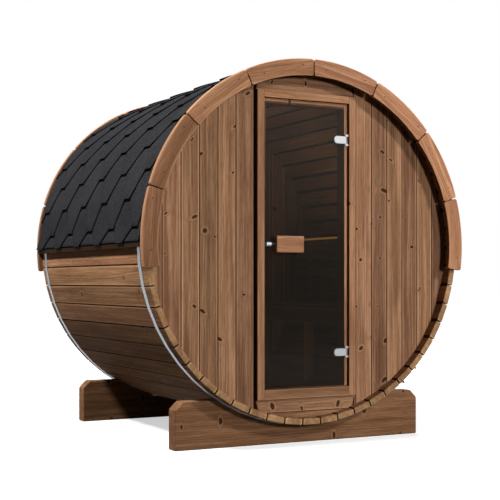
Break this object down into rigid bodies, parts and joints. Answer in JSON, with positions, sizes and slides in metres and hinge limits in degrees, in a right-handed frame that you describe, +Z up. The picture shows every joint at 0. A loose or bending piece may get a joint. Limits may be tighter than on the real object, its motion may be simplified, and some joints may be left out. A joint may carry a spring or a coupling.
{
  "type": "barrel sauna",
  "caption": "Timber barrel sauna on two saddle cradles, with a recessed front wall, smoked glass door, benches and a shingled upper half.",
  "frame": {"origin": "middle of the footprint, on the ground under the cradles", "axes": "+X to the right seen from the front, +Y from the front to the back, +Z up"},
  "size_m": [2.084, 1.8, 2.141],
  "materials": {
    "stave_wood": "planed heat-treated softwood, open grain with knots",
    "wall_wood": "planed heat-treated boards, fine grain with knots",
    "trim_wood": "planed heat-treated boards with eased edges",
    "frame_wood": "smooth planed heat-treated timber",
    "cradle_wood": "heavy sawn and planed timber",
    "bench_wood": "smooth sanded boards",
    "smoked_glass": "bronze-smoked toughened glass",
    "satin_steel": "satin stainless steel",
    "galvanised_steel": "galvanised flat strip",
    "shingle": "mineral-grained bitumen shingles",
    "warm_light": "warm diffuser, glowing"
  },
  "bodies": {
    "sauna": {"staves_floor": "stave_wood", "staves_low_right": "stave_wood", "staves_high_right": "stave_wood", "staves_crown": "stave_wood", "staves_high_left": "stave_wood", "staves_low_left": "stave_wood", "front_trim": "trim_wood", "rear_trim": "trim_wood", "front_wall_left": "wall_wood", "front_wall_right": "wall_wood", "front_wall_over_door": "wall_wood", "front_wall_under_door": "wall_wood", "back_wall_left": "wall_wood", "back_wall_right": "wall_wood", "door_jamb_left": "frame_wood", "door_jamb_right": "frame_wood", "door_head": "frame_wood", "door_sill": "frame_wood", "hinge_plate_top": "satin_steel", "hinge_plate_bottom": "satin_steel", "cradle_front": "cradle_wood", "cradle_rear": "cradle_wood", "band_front": "galvanised_steel", "band_rear": "galvanised_steel", "band_tighteners": "galvanised_steel", "roof_low_left": "shingle", "roof_high_left": "shingle", "roof_ridge": "shingle", "roof_high_right": "shingle", "roof_low_right": "shingle", "eaves_battens": "frame_wood", "bench_seats": "bench_wood", "bench_aprons": "bench_wood", "bench_bearers": "bench_wood", "bench_posts": "bench_wood", "backrest_slats": "bench_wood", "backrest_battens": "bench_wood", "light_strips": "warm_light"},
    "door": {"door_glass": "smoked_glass", "hinge_clamp_top": "satin_steel", "hinge_clamp_bottom": "satin_steel", "handle_outside": "frame_wood", "handle_inside": "frame_wood", "handle_spacers": "satin_steel", "door_catch": "satin_steel"}
  },
  "joints": [
    {"name": "door_hinge", "type": "hinge", "parent": "sauna", "child": "door", "pos_m": [0.257, -0.819, 1.108], "axis": [0, 0, 1], "range_deg": [0, 110]}
  ]
}
